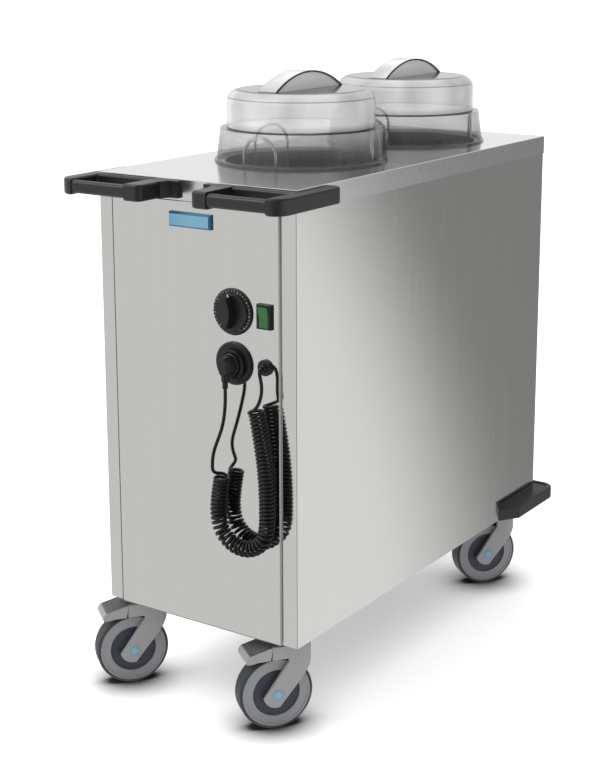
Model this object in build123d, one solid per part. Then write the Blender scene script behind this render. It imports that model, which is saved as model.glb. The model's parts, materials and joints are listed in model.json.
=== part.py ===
from build123d import *
import os
from math import cos, pi, radians, sin, sqrt

# Heated two-stack plate dispenser cart. Millimetres, +Z up, the front faces -Y, left is -X.
# Everything is drawn about the middle of the body and moved by CENTRE_Y when it is saved, so
# that the finished cart stands centred on its own footprint.

# ---------------------------------------------------------------- body
BODY_W = 390.0          # over the side panels
BODY_L = 854.0          # over the corner strips
DECK_Z = 900.0          # working height of the deck
SHEET = 1.5             # stainless sheet
SEAM = 0.2              # assembly gap inside the deck skirt
SKIRT_H = 34.0          # folded rim of the deck
DECK_CORNER_R = 4.0
CORNER_BEND_R = 2.0     # upright bends of the side panels
STRIP_W = 28.5          # corner strips, left and right of the service panels
HEM = 10.0              # folded edge behind each corner strip
PANEL_GAP = 2.0         # open joint round the service panels
PANEL_PROUD = 5.0       # the front panel stands out this far
PANEL_TOP_GAP = 0.6     # joint under the deck skirt
PANEL_FLANGE = 12.0
POST_FACE_W = 41.0
POST_SIDE_W = 32.0
TRAY_T = 2.0
TRAY_EDGE_H = 25.0
CHANNEL_W = 60.0
CHANNEL_H = 24.0

# ---------------------------------------------------------------- plate stacks
STACK_SETBACK = 302.0   # front face to the axis of the front stack
STACK_PITCH = 352.3
TUBE_R = 133.0          # inside
HOLE_LIP = 2.0          # the deck covers the tube's edge by this much
TUBE_FLANGE_W = 11.0
TUBE_L = 668.0
PLATFORM_GAP = 17.0     # tube to the rim of the platform
PLATFORM_DROP = 35.0    # below the deck when empty
PLATFORM_T = 3.0
PLATFORM_RIM_H = 14.0
POST_R = 12.0
CARRIAGE_DROP = 150.0   # deck to the top of the carriage
CARRIAGE_T = 5.0
CARRIAGE_HUB_R = 24.0
CARRIAGE_ARM_W = 22.0
CARRIAGE_GAP = 3.0      # tube to the ends of the arms
RUNNER_GAP = 18.0       # tube to the runners under the arms
RUNNER_T = 4.5
RUNNER_L = 25.0
SPRING_INSET = 9.0      # tube to the axis of a spring
SPRING_R = 4.5
HANGER_DROP = 14.0      # deck to the underside of the spring hangers
HANGER_T = 3.0
HANGER_W = 14.0
GUIDE_WIRE_R = 2.75
GUIDE_INSET = 11.0      # tube to the plane of a bow
GUIDE_HALF_W = 32.0
GUIDE_RISE = 49.0       # deck to the middle of the wire at the top of a bow
GUIDE_FOOT_Z = 300.0
SADDLE_H = 14.0
SADDLE_INSET = 36.0     # from the wire's foot, and from the deck, to each saddle
HEATER_INSET = 33.0     # tube to the ring of the heater
HEATER_ROD_R = 4.5
HEATER_RISE = 34.0      # floor tray to the middle of the rod
HEATER_LEG_W = 10.0

# ---------------------------------------------------------------- covers
COVER_T = 2.5
COVER_OVER = 16.0       # the cover's rim reaches this far beyond the tube
COVER_RIM_T = 4.0
RIM_W = 3.0
SKIRT_DRAFT = 7.5       # the skirt narrows by this much up to the ledge
LEDGE_H = 57.0          # deck to the ledge
LEDGE_W = 11.0
SHOULDER_R = 22.0
COVER_H = 122.0         # deck to the flat top
GRIP_INSET = 0.5        # ends of the grip inside the flat top
GRIP_W = 36.0
GRIP_T = 3.0
GRIP_RISE = 31.0        # flat top to the crown of the arch

# ---------------------------------------------------------------- push handles
HANDLE_TOP_DROP = 3.0   # below the deck
HANDLE_H = 27.0
HANDLE_REACH = 75.0     # from the front face of the body
HANDLE_OUT = 23.0       # outside of the side panel
BACKPLATE_T = 7.0
HANDLE_EDGE_R = 4.0     # rounding along the top and bottom edges
ARM_W = 28.0            # outer arm, measured along X
SIDE_ARM_END = 93.0     # behind the front face
HANDLE_CORNER_R = 26.0
BRACKET_X = 49.0        # inner side of the inner bracket
BRACKET_W = 31.0
BRACKET_FOOT_W = 23.0   # tab beside the bracket, on the skirt
BRACKET_NOSE_R = 12.0
BAR_D = 15.0
BAR_H = 21.0
BAR_INSET = 1.5         # bar behind the front of the brackets
BAR_EDGE_R = 6.0

# ---------------------------------------------------------------- rear bumpers
BUMPER_H = 24.5
BUMPER_DROP = 2.0       # below the body's lower edge
BUMPER_OUT = 26.5
BUMPER_REACH = 48.0
BUMPER_SIDE_L = 153.0
BUMPER_REAR_L = 105.0
BUMPER_RAMP = 39.0
BUMPER_CORNER_R = 25.0
BUMPER_LIP = 9.0
BUMPER_LIP_H = 2.0
BUMPER_EDGE_R = 3.0

# ---------------------------------------------------------------- front panel fittings
KNOB_INSET = 85.7       # right edge of the panel to the middle of each fitting
KNOB_DROP = 200.0       # below the deck
DIAL_R = 37.5
DIAL_T = 4.0
KNOB_R = 30.0
KNOB_T = 6.5
KNOB_RIM = 1.0
KNOB_DRAFT = 5.0        # degrees
GRIP_KNOB_L = 52.0
GRIP_KNOB_W = 17.0
GRIP_KNOB_H = 16.0
SHAFT_R = 3.0
SHAFT_L = 24.0
THERMOSTAT_SIZE = (54.0, 32.0, 46.0)
SWITCH_INSET = 25.0
SWITCH_DROP = 200.5
SWITCH_W = 27.0
SWITCH_H = 39.5
SWITCH_PROUD = 6.0
SWITCH_DEPTH = 24.0
SWITCH_RIM = 4.4
ROCKER_H = 34.0
ROCKER_GAP = 0.55
ROCKER_DIP = 2.0        # hollow across the middle of the button
ROCKER_TILT = 6.0       # half of its swing, degrees
TRUNNION_R = 1.5
SOCKET_INSET = 84.2
SOCKET_DROP = 283.0
SOCKET_R = 35.0
SOCKET_T = 5.0
COLLAR_R = 25.0
COLLAR_H = 12.0
SOCKET_BORE_R = 20.0
PLUG_R = 18.5
PLUG_L = 28.0
PLUG_NOSE = 5.0         # bevel round the front of the plug
PIN_R = 2.4
PIN_SPACING = 19.0
PIN_L = 19.0
GLAND_INSET = 24.7
GLAND_DROP = 281.7
GLAND_R = 13.0
GLAND_NOSE_R = 7.0
GLAND_L = 11.0
GLAND_THREAD_L = 12.0
BADGE_X = -2.2
BADGE_DROP = 63.0
BADGE_W = 83.0
BADGE_H = 24.0
BADGE_T = 6.5
BADGE_BEVEL = 3.0

# ---------------------------------------------------------------- cord
WIRE_D = 5.6
CURL_R = 10.6           # axis of the coil to the middle of the wire
CURL_PITCH = 6.15       # between neighbouring curls where they lie closest
CORD_STAND = 26.0       # front panel to the axis of the coil
SLEEVE_R = 4.6
SLEEVE_L = 11.0
SLEEVE_RIBS = 3
# Axis of the hanging coil, as X and height from the gland, from its upper end round to the plug's end.
COIL_ROUTE = ((0.1, -63.5), (9.7, -110.3), (17.7, -163.3), (20.2, -213.3), (19.2, -261.0),
              (6.5, -283.1), (-15.6, -295.8), (-41.0, -295.8), (-63.1, -283.1), (-75.8, -261.0),
              (-76.6, -223.3), (-67.9, -181.3))
# Loose leads, as X from the gland, distance in front of the panel and height from the gland.
GLAND_LEAD = ((0.0, 18.0, 0.0), (5.0, 23.0, -7.0), (9.0, 24.5, -17.5), (10.6, 25.5, -30.0),
              (10.4, 29.0, -42.0), (9.0, 34.5, -52.0), (4.5, 39.5, -59.0), (-3.5, 42.5, -63.5))
PLUG_LEAD = ((-77.5, 38.5, -171.5), (-79.5, 36.0, -161.5), (-81.0, 32.5, -149.5), (-78.9, 29.3, -135.5),
             (-73.2, 27.5, -120.0), (-66.2, 26.7, -101.5), (-61.9, 26.3, -82.0), (-59.8, 26.0, -62.0))
LEAD_END_L = 10.0       # straight end below the plug's sleeve
COIL_TAIL = 8.4         # straight wire between the coil and a lead

# ---------------------------------------------------------------- castors
CASTOR_H = 160.0        # floor to the mounting face
CASTOR_SIDE = 43.0      # swivel axis to the side of the body
CASTOR_END = 57.0       # swivel axis to the front or the rear of the body
CASTOR_TURN = 52.3      # degrees
TRAIL = 38.0
WHEEL_R = 62.5
TYRE_W = 32.0
RIM_R = 54.0
RING_W = 30.0
RING_R = 40.0           # inside edge of the pale ring
DISC_W = 25.0
HUB_R = 12.0
HUB_GAP = 0.3
TYRE_CHAMFER = 3.0
AXLE_R = 6.0
CAP_R = 9.5
CAP_T = 1.2
RUNNING = 0.08          # clearance of everything that turns on a pin
FORK_W = 51.0
LEG_T = 6.0
CROWN_T = 13.0
CROWN_Z = 150.0
RACE_R = 27.0
RACE_GAP = 0.4
LEG_FRONT_Z = 115.0
LEG_HEEL = (3.0, -20.5)     # foot of the leg, measured from the axle along X and Z
LEG_TOE = (-14.5, -17.5)
LEG_BACK = (-24.0, -4.8)
LEG_TOP = (19.4, 57.2)
CHEEK_END = -9.0            # end of the pedal cheeks, measured from the axle
CHEEK_LOW_Z = 125.0
CHEEK_TOP_Z = 147.0
CROWN_BACK = 12.0           # end of the crown, measured from the axle
KINGPIN_R = 8.0
KINGPIN_HEAD_R = 12.0
KINGPIN_HEAD_T = 5.0
PLATE_W = 80.0
PLATE_L = 92.0
PLATE_T = 4.0
PLATE_CORNER_R = 8.0
BOLT_PITCH_X = 60.0
BOLT_PITCH_Y = 74.0
BOLT_R = 4.0
BOLT_HEAD_R = 7.0
BOLT_HEAD_T = 5.0
BOLT_FIT = 0.1
PEDAL_L = 45.0              # behind the cheeks
PEDAL_SLOT = 0.6            # joint between the cheeks and the pedal
PEDAL_FALL = 9.0            # the top drops by this much to the nose
PEDAL_NOSE_L = 11.0
PEDAL_SWING = 12.0          # degrees
PEDAL_WALL = 3.0
PEDAL_SKIRT_T = 7.0
PEDAL_LOW_Z = 123.0
PEDAL_HOLLOW_Z = 131.0
PEDAL_PIN_R = 3.0
PEDAL_PIN = (-2.0, 139.0)   # from the axle along X, height above the floor
TONGUE_END = 6.0
TREAD_PITCH = 3.4
TREAD_GROOVES = 9
TREAD_DEPTH = 1.0
TREAD_CUT_W = 1.4
TREAD_MARGIN = 3.0

# ---------------------------------------------------------------- worked out from the sizes above
HALF_W = BODY_W / 2
FRONT_Y = -BODY_L / 2
REAR_Y = BODY_L / 2
FRAME_Y = BODY_L / 2 - HEM
BODY_BOTTOM = CASTOR_H
DECK_UNDER = DECK_Z - SHEET
DECK_HALF_W = HALF_W + SEAM + SHEET
DECK_HALF_L = BODY_L / 2 + SEAM + SHEET
PANEL_HALF_W = HALF_W - STRIP_W - PANEL_GAP
PANEL_Y = FRONT_Y - PANEL_PROUD
PANEL_TOP = DECK_Z - SKIRT_H - PANEL_TOP_GAP
TRAY_Z = BODY_BOTTOM + PLATE_T
FLOOR_Z = TRAY_Z + TRAY_T
DECK_HOLE_R = TUBE_R - HOLE_LIP
PLATFORM_R = TUBE_R - PLATFORM_GAP
CARRIAGE_REACH_R = TUBE_R - CARRIAGE_GAP
SPRING_PCD_R = TUBE_R - SPRING_INSET
GUIDE_PLANE_R = TUBE_R - GUIDE_INSET
HEATER_R = TUBE_R - HEATER_INSET
COVER_RIM_R = TUBE_R + COVER_OVER
SKIRT_FOOT_R = COVER_RIM_R - RIM_W
SKIRT_TOP_R = SKIRT_FOOT_R - SKIRT_DRAFT
DOME_R = SKIRT_TOP_R - LEDGE_W
GRIP_HALF_L = DOME_R - SHOULDER_R - GRIP_INSET
STACKS = {"front": FRONT_Y + STACK_SETBACK, "rear": FRONT_Y + STACK_SETBACK + STACK_PITCH}
GUIDE_ANGLES = (-90.0, 30.0, 150.0)
SPRING_ANGLES = (90.0, 210.0, 330.0)
CARRIAGE_Z = DECK_Z - CARRIAGE_DROP
HANGER_Z = DECK_Z - HANGER_DROP
HANDLE_Z = DECK_Z - HANDLE_TOP_DROP - HANDLE_H
HANDLE_FRONT_Y = FRONT_Y - HANDLE_REACH
HANDLE_SIDE_X = HALF_W + HANDLE_OUT
SKIRT_FRONT_Y = -DECK_HALF_L
KNOB_X = PANEL_HALF_W - KNOB_INSET
SWITCH_X = PANEL_HALF_W - SWITCH_INSET
SOCKET_X = PANEL_HALF_W - SOCKET_INSET
GLAND_X = PANEL_HALF_W - GLAND_INSET
GLAND_Z = DECK_Z - GLAND_DROP
CORD_Y = PANEL_Y - CORD_STAND
CENTRE_Y = (HANDLE_REACH - BUMPER_REACH) / 2
CASTOR_X = HALF_W - CASTOR_SIDE
CASTOR_Y = BODY_L / 2 - CASTOR_END
CASTORS = {
    "front_left": (-CASTOR_X, -CASTOR_Y),
    "front_right": (CASTOR_X, -CASTOR_Y),
    "rear_left": (-CASTOR_X, CASTOR_Y),
    "rear_right": (CASTOR_X, CASTOR_Y),
}
SIDES = {"left": -1, "right": 1}
PEDAL_TOP_Z = CHEEK_TOP_Z


# ---------------------------------------------------------------- helpers
def outline(*points):
    """A flat face inside straight edges."""
    return make_face(Polyline(*points, close=True))


def turned_z(*points):
    """A round part about Z, from radius and height."""
    return revolve(Plane.XZ * outline(*points), Axis.Z)


def turned_y(*points):
    """A round part about Y, from radius and place along Y."""
    return revolve(outline(*points), Axis.Y)


def block(x, y, z):
    """A plain block between two ends on each axis."""
    size = [span[1] - span[0] for span in (x, y, z)]
    middle = [(span[1] + span[0]) / 2 for span in (x, y, z)]
    return Pos(*middle) * Box(*size)


def folded(points, thickness=SHEET):
    """The cross-section of a folded sheet, its thickness to the left of the way it runs."""
    corners = [Vector(*point) for point in points]
    runs = [(b - a).normalized() for a, b in zip(corners, corners[1:])]
    normals = [Vector(-run.Y, run.X) for run in runs]
    inside = [corners[0] + normals[0] * thickness]
    for corner, before, after in zip(corners[1:-1], normals, normals[1:]):
        inside.append(corner + (before + after) * (thickness / (1 + before.dot(after))))
    inside.append(corners[-1] + normals[-1] * thickness)
    return outline(*[tuple(point) for point in corners + inside[::-1]])


def stand(face, low, high):
    """A plan shape raised between two heights."""
    return Pos(0, 0, low) * extrude(face, high - low)


def pillar(radius, low, high):
    """An upright round bar between two heights."""
    return Pos(0, 0, (low + high) / 2) * Cylinder(radius, high - low)


def cross_bar(radius, start, end):
    """A round bar along Y."""
    return Pos(0, (start + end) / 2, 0) * Rot(90, 0, 0) * Cylinder(radius, abs(end - start))


def group(shapes):
    """Separate solids kept in one node."""
    return Compound([solid for shape in shapes for solid in shape.solids()])


def on_side(shape, side):
    """The same piece on the right, or mirrored to the left."""
    return shape if side > 0 else mirror(shape, Plane.YZ)


def around(shape, angles):
    """Copies turned about Z."""
    return [Rot(0, 0, angle) * shape for angle in angles]


# ---------------------------------------------------------------- body
def deck():
    plan = RectangleRounded(2 * DECK_HALF_W, 2 * DECK_HALF_L, DECK_CORNER_R)
    hollow = RectangleRounded(2 * (DECK_HALF_W - SHEET), 2 * (DECK_HALF_L - SHEET),
                              DECK_CORNER_R - SHEET)
    cap = stand(plan, DECK_Z - SKIRT_H, DECK_Z)
    cap = chamfer(cap.faces().sort_by(Axis.Z)[-1].edges(), SHEET / 2)
    cap -= stand(hollow, DECK_Z - SKIRT_H, DECK_UNDER)
    for y in STACKS.values():
        cap -= Pos(0, y, 0) * pillar(DECK_HOLE_R, DECK_UNDER, DECK_Z)
    return cap


def side_panel(side):
    inner = HALF_W - STRIP_W
    plan = folded([(inner, -FRAME_Y), (inner, FRONT_Y), (HALF_W, FRONT_Y), (HALF_W, REAR_Y),
                   (inner, REAR_Y), (inner, FRAME_Y)])
    sheet = stand(plan, BODY_BOTTOM, DECK_UNDER)
    corners = sheet.edges().filter_by(Axis.Z).sort_by(Axis.X)[-2:]
    return on_side(fillet(corners, CORNER_BEND_R), side)


def service_pan(proud, top):
    """A panel folded back on four sides, with a narrow flange against the frame; faces -Y."""
    face_y = FRONT_Y - proud
    back_y = -FRAME_Y
    inner_x = PANEL_HALF_W - SHEET
    pan = block((-PANEL_HALF_W, PANEL_HALF_W), (face_y, back_y), (BODY_BOTTOM, top))
    pan -= block((-inner_x, inner_x), (face_y + SHEET, back_y - SHEET),
                 (BODY_BOTTOM + SHEET, top - SHEET))
    open_x = PANEL_HALF_W - PANEL_FLANGE
    open_z = (BODY_BOTTOM + PANEL_FLANGE, top - PANEL_FLANGE)
    return pan - block((-open_x, open_x), (back_y - SHEET, back_y), open_z)


def front_panel():
    pan = service_pan(PANEL_PROUD, PANEL_TOP)
    through = (PANEL_Y, PANEL_Y + SHEET)
    for x, drop, radius in ((KNOB_X, KNOB_DROP, bushing_radius()),
                            (SOCKET_X, SOCKET_DROP, COLLAR_R),
                            (GLAND_X, GLAND_DROP, GLAND_NOSE_R)):
        pan -= Pos(x, 0, DECK_Z - drop) * cross_bar(radius + BOLT_FIT, *through)
    half_w, half_h = switch_body_half()
    z = DECK_Z - SWITCH_DROP
    return pan - block((SWITCH_X - half_w - BOLT_FIT, SWITCH_X + half_w + BOLT_FIT), through,
                       (z - half_h - BOLT_FIT, z + half_h + BOLT_FIT))


def rear_panel():
    return Rot(0, 0, 180) * service_pan(0, PANEL_TOP)


def base_frame():
    inner_x = HALF_W - SHEET
    edge_y = FRAME_Y - POST_SIDE_W - SHEET
    tray = block((-inner_x, inner_x), (-FRAME_Y, FRAME_Y), (TRAY_Z, FLOOR_Z))
    for side in SIDES.values():
        edge = block((inner_x - TRAY_T, inner_x), (-edge_y, edge_y),
                     (FLOOR_Z, FLOOR_Z + TRAY_EDGE_H))
        tray += on_side(edge, side)
    section = folded([(CHANNEL_W / 2, FLOOR_Z), (CHANNEL_W / 2, FLOOR_Z + CHANNEL_H),
                      (-CHANNEL_W / 2, FLOOR_Z + CHANNEL_H), (-CHANNEL_W / 2, FLOOR_Z)], TRAY_T)
    channel = extrude(Plane.YZ * section, CASTOR_X - BOLT_PITCH_X, both=True)
    for y in (-CASTOR_Y, CASTOR_Y):
        tray += Pos(0, y, 0) * channel
    for x, y in bolt_places():
        tray -= Pos(x, y, 0) * pillar(BOLT_R + BOLT_FIT, TRAY_Z, FLOOR_Z)
    return tray


def corner_posts():
    inner_x = HALF_W - SHEET
    plan = folded([(inner_x - POST_FACE_W, -FRAME_Y), (inner_x, -FRAME_Y),
                   (inner_x, -FRAME_Y + POST_SIDE_W)])
    post = stand(plan, FLOOR_Z, DECK_UNDER)
    pair = [post, mirror(post, Plane.YZ)]
    return group(pair + [mirror(one, Plane.XZ) for one in pair])


# ---------------------------------------------------------------- plate stacks
def stack_tube(y):
    outer = TUBE_R + SHEET
    low = DECK_UNDER - TUBE_L
    flange = outer + TUBE_FLANGE_W
    tube = turned_z((TUBE_R, low), (outer, low), (outer, DECK_UNDER - SHEET),
                    (flange, DECK_UNDER - SHEET), (flange, DECK_UNDER), (TUBE_R, DECK_UNDER))
    tab = block((SPRING_PCD_R - SPRING_R, outer), (-HANGER_W / 2, HANGER_W / 2),
                (HANGER_Z, HANGER_Z + HANGER_T))
    for one in around(tab, SPRING_ANGLES):
        tube += one & pillar(outer, HANGER_Z, HANGER_Z + HANGER_T)
    return Pos(0, y, 0) * tube


def platform(y):
    top = DECK_Z - PLATFORM_DROP
    rim = top - PLATFORM_RIM_H
    under = top - PLATFORM_T
    inner = PLATFORM_R - PLATFORM_T
    disc = turned_z((0, CARRIAGE_Z), (POST_R, CARRIAGE_Z), (POST_R, under), (inner, under),
                    (inner, rim), (PLATFORM_R, rim), (PLATFORM_R, under), (inner, top), (0, top))
    return Pos(0, y, 0) * disc


def carriage(y):
    low = CARRIAGE_Z - CARRIAGE_T
    spider = pillar(CARRIAGE_HUB_R, low, CARRIAGE_Z)
    width = (-CARRIAGE_ARM_W / 2, CARRIAGE_ARM_W / 2)
    runner_x = TUBE_R - RUNNER_GAP
    arm = block((0, CARRIAGE_REACH_R), width, (low, CARRIAGE_Z))
    arm += block((runner_x - RUNNER_T, runner_x), width, (low - RUNNER_L, low))
    for one in around(arm, SPRING_ANGLES):
        spider += one & pillar(CARRIAGE_REACH_R, low - RUNNER_L, CARRIAGE_Z)
    return Pos(0, y, 0) * spider


def springs(y):
    one = Pos(SPRING_PCD_R, 0, 0) * pillar(SPRING_R, CARRIAGE_Z, HANGER_Z)
    return group([Pos(0, y, 0) * turned for turned in around(one, SPRING_ANGLES)])


def plate_guide():
    """One bow of bent wire on the -Y side of a stack, with the saddles that hold it to the tube."""
    bend_z = DECK_Z + GUIDE_RISE - GUIDE_HALF_W
    foot = (-GUIDE_HALF_W, -GUIDE_PLANE_R, GUIDE_FOOT_Z)
    left = (-GUIDE_HALF_W, -GUIDE_PLANE_R, bend_z)
    right = (GUIDE_HALF_W, -GUIDE_PLANE_R, bend_z)
    crown = (0, -GUIDE_PLANE_R, bend_z + GUIDE_HALF_W)
    end = (GUIDE_HALF_W, -GUIDE_PLANE_R, GUIDE_FOOT_Z)
    path = Wire([Edge.make_line(foot, left), Edge.make_three_point_arc(left, crown, right),
                 Edge.make_line(right, end)])
    bow = sweep(Pos(*foot) * Circle(GUIDE_WIRE_R), path=path)
    half = GUIDE_HALF_W + GUIDE_WIRE_R + SHEET
    for middle in (GUIDE_FOOT_Z + SADDLE_INSET, DECK_UNDER - SADDLE_INSET):
        heights = (middle - SADDLE_H / 2, middle + SADDLE_H / 2)
        saddle = block((-half, half), (-TUBE_R, -GUIDE_PLANE_R), heights)
        bow += saddle & pillar(TUBE_R, *heights)
    return bow


def plate_guides():
    bow = plate_guide()
    turns = [angle - GUIDE_ANGLES[0] for angle in GUIDE_ANGLES]
    return group([Pos(0, y, 0) * one for y in STACKS.values() for one in around(bow, turns)])


def heating_elements():
    middle = FLOOR_Z + HEATER_RISE
    rod = Pos(HEATER_R, middle) * RegularPolygon(HEATER_ROD_R, 6)
    ring = revolve(Plane.XZ * rod, Axis.Z)
    leg = block((HEATER_R - HEATER_ROD_R / 2, HEATER_R + HEATER_ROD_R / 2),
                (-HEATER_LEG_W / 2, HEATER_LEG_W / 2), (FLOOR_Z, middle))
    for one in around(leg, SPRING_ANGLES):
        ring += one
    return group([Pos(0, y, 0) * ring for y in STACKS.values()])


# ---------------------------------------------------------------- covers
def cover_profile(inset):
    """Half section of a cover, its wall surface moved inwards by inset."""
    top = DECK_Z + COVER_H - inset
    shoulder = SHOULDER_R - inset
    side = DOME_R - inset
    ledge = DECK_Z + LEDGE_H - inset
    bulge = shoulder * (1 - sqrt(0.5))
    straight = Polyline((0, DECK_Z), (SKIRT_FOOT_R - inset, DECK_Z), (SKIRT_TOP_R - inset, ledge),
                        (side, ledge), (side, top - shoulder))
    round_edge = ThreePointArc((side, top - shoulder), (side - bulge, top - bulge),
                               (side - shoulder, top))
    close = Polyline((side - shoulder, top), (0, top), (0, DECK_Z))
    return revolve(Plane.XZ * make_face(straight + round_edge + close), Axis.Z)


def grip_arch():
    """The moulded band over the cover, along Y."""
    foot_z = DECK_Z + COVER_H - COVER_T / 2
    rise = GRIP_RISE + COVER_T / 2
    inner_half = GRIP_HALF_L - 3 * GRIP_T
    outer = [Line((-GRIP_HALF_L, foot_z), (GRIP_HALF_L, foot_z)),
             ThreePointArc((GRIP_HALF_L, foot_z), (0, foot_z + rise), (-GRIP_HALF_L, foot_z))]
    inner = [Line((-inner_half, foot_z), (inner_half, foot_z)),
             ThreePointArc((inner_half, foot_z), (0, foot_z + rise - GRIP_T), (-inner_half, foot_z))]
    band = make_face(outer) - make_face(inner)
    return extrude(Plane.YZ * band, GRIP_W / 2, both=True)


def cover(y):
    rim = pillar(COVER_RIM_R, DECK_Z, DECK_Z + COVER_RIM_T)
    rim = chamfer(rim.edges().sort_by(Axis.Z)[-1], COVER_RIM_T / 4)
    shell = rim + cover_profile(0) + grip_arch()
    return Pos(0, y, 0) * (shell - cover_profile(COVER_T))


# ---------------------------------------------------------------- push handles
def handle_corner(side):
    skirt_x = DECK_HALF_W
    back_y = SKIRT_FRONT_Y - BACKPLATE_T
    arm_x = HANDLE_SIDE_X - ARM_W
    tail_y = FRONT_Y + SIDE_ARM_END
    plan = outline((BRACKET_X + BRACKET_W, SKIRT_FRONT_Y), (BRACKET_X + BRACKET_W, back_y),
                   (arm_x, back_y), (arm_x, HANDLE_FRONT_Y), (HANDLE_SIDE_X, HANDLE_FRONT_Y),
                   (HANDLE_SIDE_X, tail_y), (skirt_x, tail_y), (skirt_x, SKIRT_FRONT_Y))
    moulding = stand(plan, HANDLE_Z, HANDLE_Z + HANDLE_H)
    upright = moulding.edges().filter_by(Axis.Z)
    outer = upright.sort_by_distance((HANDLE_SIDE_X, HANDLE_FRONT_Y, HANDLE_Z))[0]
    tail = upright.sort_by_distance((HANDLE_SIDE_X, tail_y, HANDLE_Z))[0]
    inner = upright.sort_by_distance((arm_x, back_y, HANDLE_Z))[0]
    moulding = fillet(outer, HANDLE_CORNER_R)
    tail_r = (HANDLE_SIDE_X - skirt_x) / 2
    moulding = fillet(moulding.edges().sort_by_distance(tail.center())[0], tail_r)
    moulding = fillet(moulding.edges().sort_by_distance(inner.center())[0], HANDLE_EDGE_R)
    return on_side(soft_rims(moulding), side)


def soft_rims(shape):
    """Rounds the top and bottom rims that stand clear of the deck's skirt."""
    rims = shape.edges().filter_by(Plane.XY)
    clear = [edge for edge in rims if not on_skirt(edge.center())]
    return fillet(clear, HANDLE_EDGE_R)


def on_skirt(point):
    """True for an edge that lies against the skirt."""
    reach = HANDLE_EDGE_R / 2
    at_front = point.Y > SKIRT_FRONT_Y - reach and point.X < DECK_HALF_W
    at_side = point.X < DECK_HALF_W + reach and point.Y > SKIRT_FRONT_Y
    return at_front or at_side


def handle_bracket():
    back_y = SKIRT_FRONT_Y - BACKPLATE_T
    end_x = BRACKET_X + BRACKET_W
    foot_x = BRACKET_X - BRACKET_FOOT_W
    plan = outline((foot_x, SKIRT_FRONT_Y), (foot_x, back_y), (BRACKET_X - BACKPLATE_T, back_y),
                   (BRACKET_X, back_y - 2 * BACKPLATE_T), (BRACKET_X, HANDLE_FRONT_Y),
                   (end_x, HANDLE_FRONT_Y), (end_x, SKIRT_FRONT_Y))
    moulding = stand(plan, HANDLE_Z, HANDLE_Z + HANDLE_H)
    nose = (BRACKET_X, HANDLE_FRONT_Y, HANDLE_Z)
    upright = moulding.edges().filter_by(Axis.Z)
    moulding = fillet(upright.sort_by_distance(nose)[0], BRACKET_NOSE_R)
    front = moulding.edges().filter_by(Plane.XY).sort_by(Axis.Y)[:2]
    nose_rims = moulding.edges().filter_by(GeomType.CIRCLE)
    flank = [edge for edge in moulding.edges().filter_by(Plane.XY).filter_by(Axis.Y)
             if abs(edge.center().X - BRACKET_X) < BRACKET_NOSE_R]
    return fillet(list(front) + list(nose_rims) + flank, HANDLE_EDGE_R)


def handle_brackets():
    one = handle_bracket()
    return group([one, mirror(one, Plane.YZ)])


def handle_bars():
    middle_y = HANDLE_FRONT_Y + BAR_INSET + BAR_D / 2
    middle_z = HANDLE_Z + HANDLE_H / 2
    start_x = BRACKET_X + BRACKET_W
    length = HANDLE_SIDE_X - ARM_W - start_x
    section = RectangleRounded(BAR_D, BAR_H, BAR_EDGE_R)
    bar = Pos(start_x, middle_y, middle_z) * extrude(Plane.YZ * section, length)
    return group([bar, mirror(bar, Plane.YZ)])


# ---------------------------------------------------------------- rear bumpers
def bumper_plan(lip):
    """Plan of the right bumper, its outer edge moved inwards by lip."""
    out_x = HALF_W + BUMPER_OUT - lip
    out_y = REAR_Y + BUMPER_REACH - lip
    side_y = REAR_Y - BUMPER_SIDE_L
    rear_x = HALF_W - BUMPER_REAR_L
    plan = outline((HALF_W, side_y), (out_x, side_y + BUMPER_RAMP), (out_x, out_y),
                   (rear_x + BUMPER_RAMP, out_y), (rear_x, REAR_Y), (HALF_W, REAR_Y))
    corner = plan.vertices().sort_by_distance((out_x, out_y))[0]
    return fillet(corner, BUMPER_CORNER_R - lip)


def rear_bumper(side):
    low = BODY_BOTTOM - BUMPER_DROP
    high = low + BUMPER_H
    pad = stand(bumper_plan(0), low, high)
    outer = [edge for edge in pad.edges().filter_by(Plane.XY) if off_body(edge.center())]
    pad = fillet(outer, BUMPER_EDGE_R)
    return on_side(pad - stand(bumper_plan(BUMPER_LIP), high - BUMPER_LIP_H, high), side)


def off_body(point):
    """True for an edge that doesn't lie against the body."""
    return point.X > HALF_W + BUMPER_LIP / 2 or point.Y > REAR_Y + BUMPER_LIP / 2


# ---------------------------------------------------------------- front panel fittings
def on_panel(shape, x, drop):
    """Places a fitting drawn about the origin, the panel's face at y = 0."""
    return Pos(x, PANEL_Y, DECK_Z - drop) * shape


def bushing_radius():
    return SHAFT_R + RUNNING + SHEET


def dial_ring():
    inner = KNOB_R + PANEL_GAP / 4
    ring = turned_y((inner, 0), (DIAL_R, 0), (DIAL_R, -DIAL_T / 2), (DIAL_R - DIAL_T / 2, -DIAL_T),
                    (inner, -DIAL_T))
    return on_panel(ring, KNOB_X, KNOB_DROP)


def control_knob():
    gap = PANEL_GAP / 4
    skirt = turned_y((0, -gap), (KNOB_R, -gap), (KNOB_R, KNOB_RIM - KNOB_T), (KNOB_R - KNOB_RIM, -KNOB_T),
                     (0, -KNOB_T))
    half_l = GRIP_KNOB_L / 2
    half_w = GRIP_KNOB_W / 2
    lens = make_face([ThreePointArc((0, half_l), (half_w, 0), (0, -half_l)),
                      ThreePointArc((0, -half_l), (-half_w, 0), (0, half_l))])
    grip = Pos(0, -KNOB_T, 0) * extrude(Plane.XZ * lens, GRIP_KNOB_H, taper=KNOB_DRAFT)
    shaft = cross_bar(SHAFT_R, -gap, SHAFT_L)
    return on_panel(skirt + grip + shaft, KNOB_X, KNOB_DROP)


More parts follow.
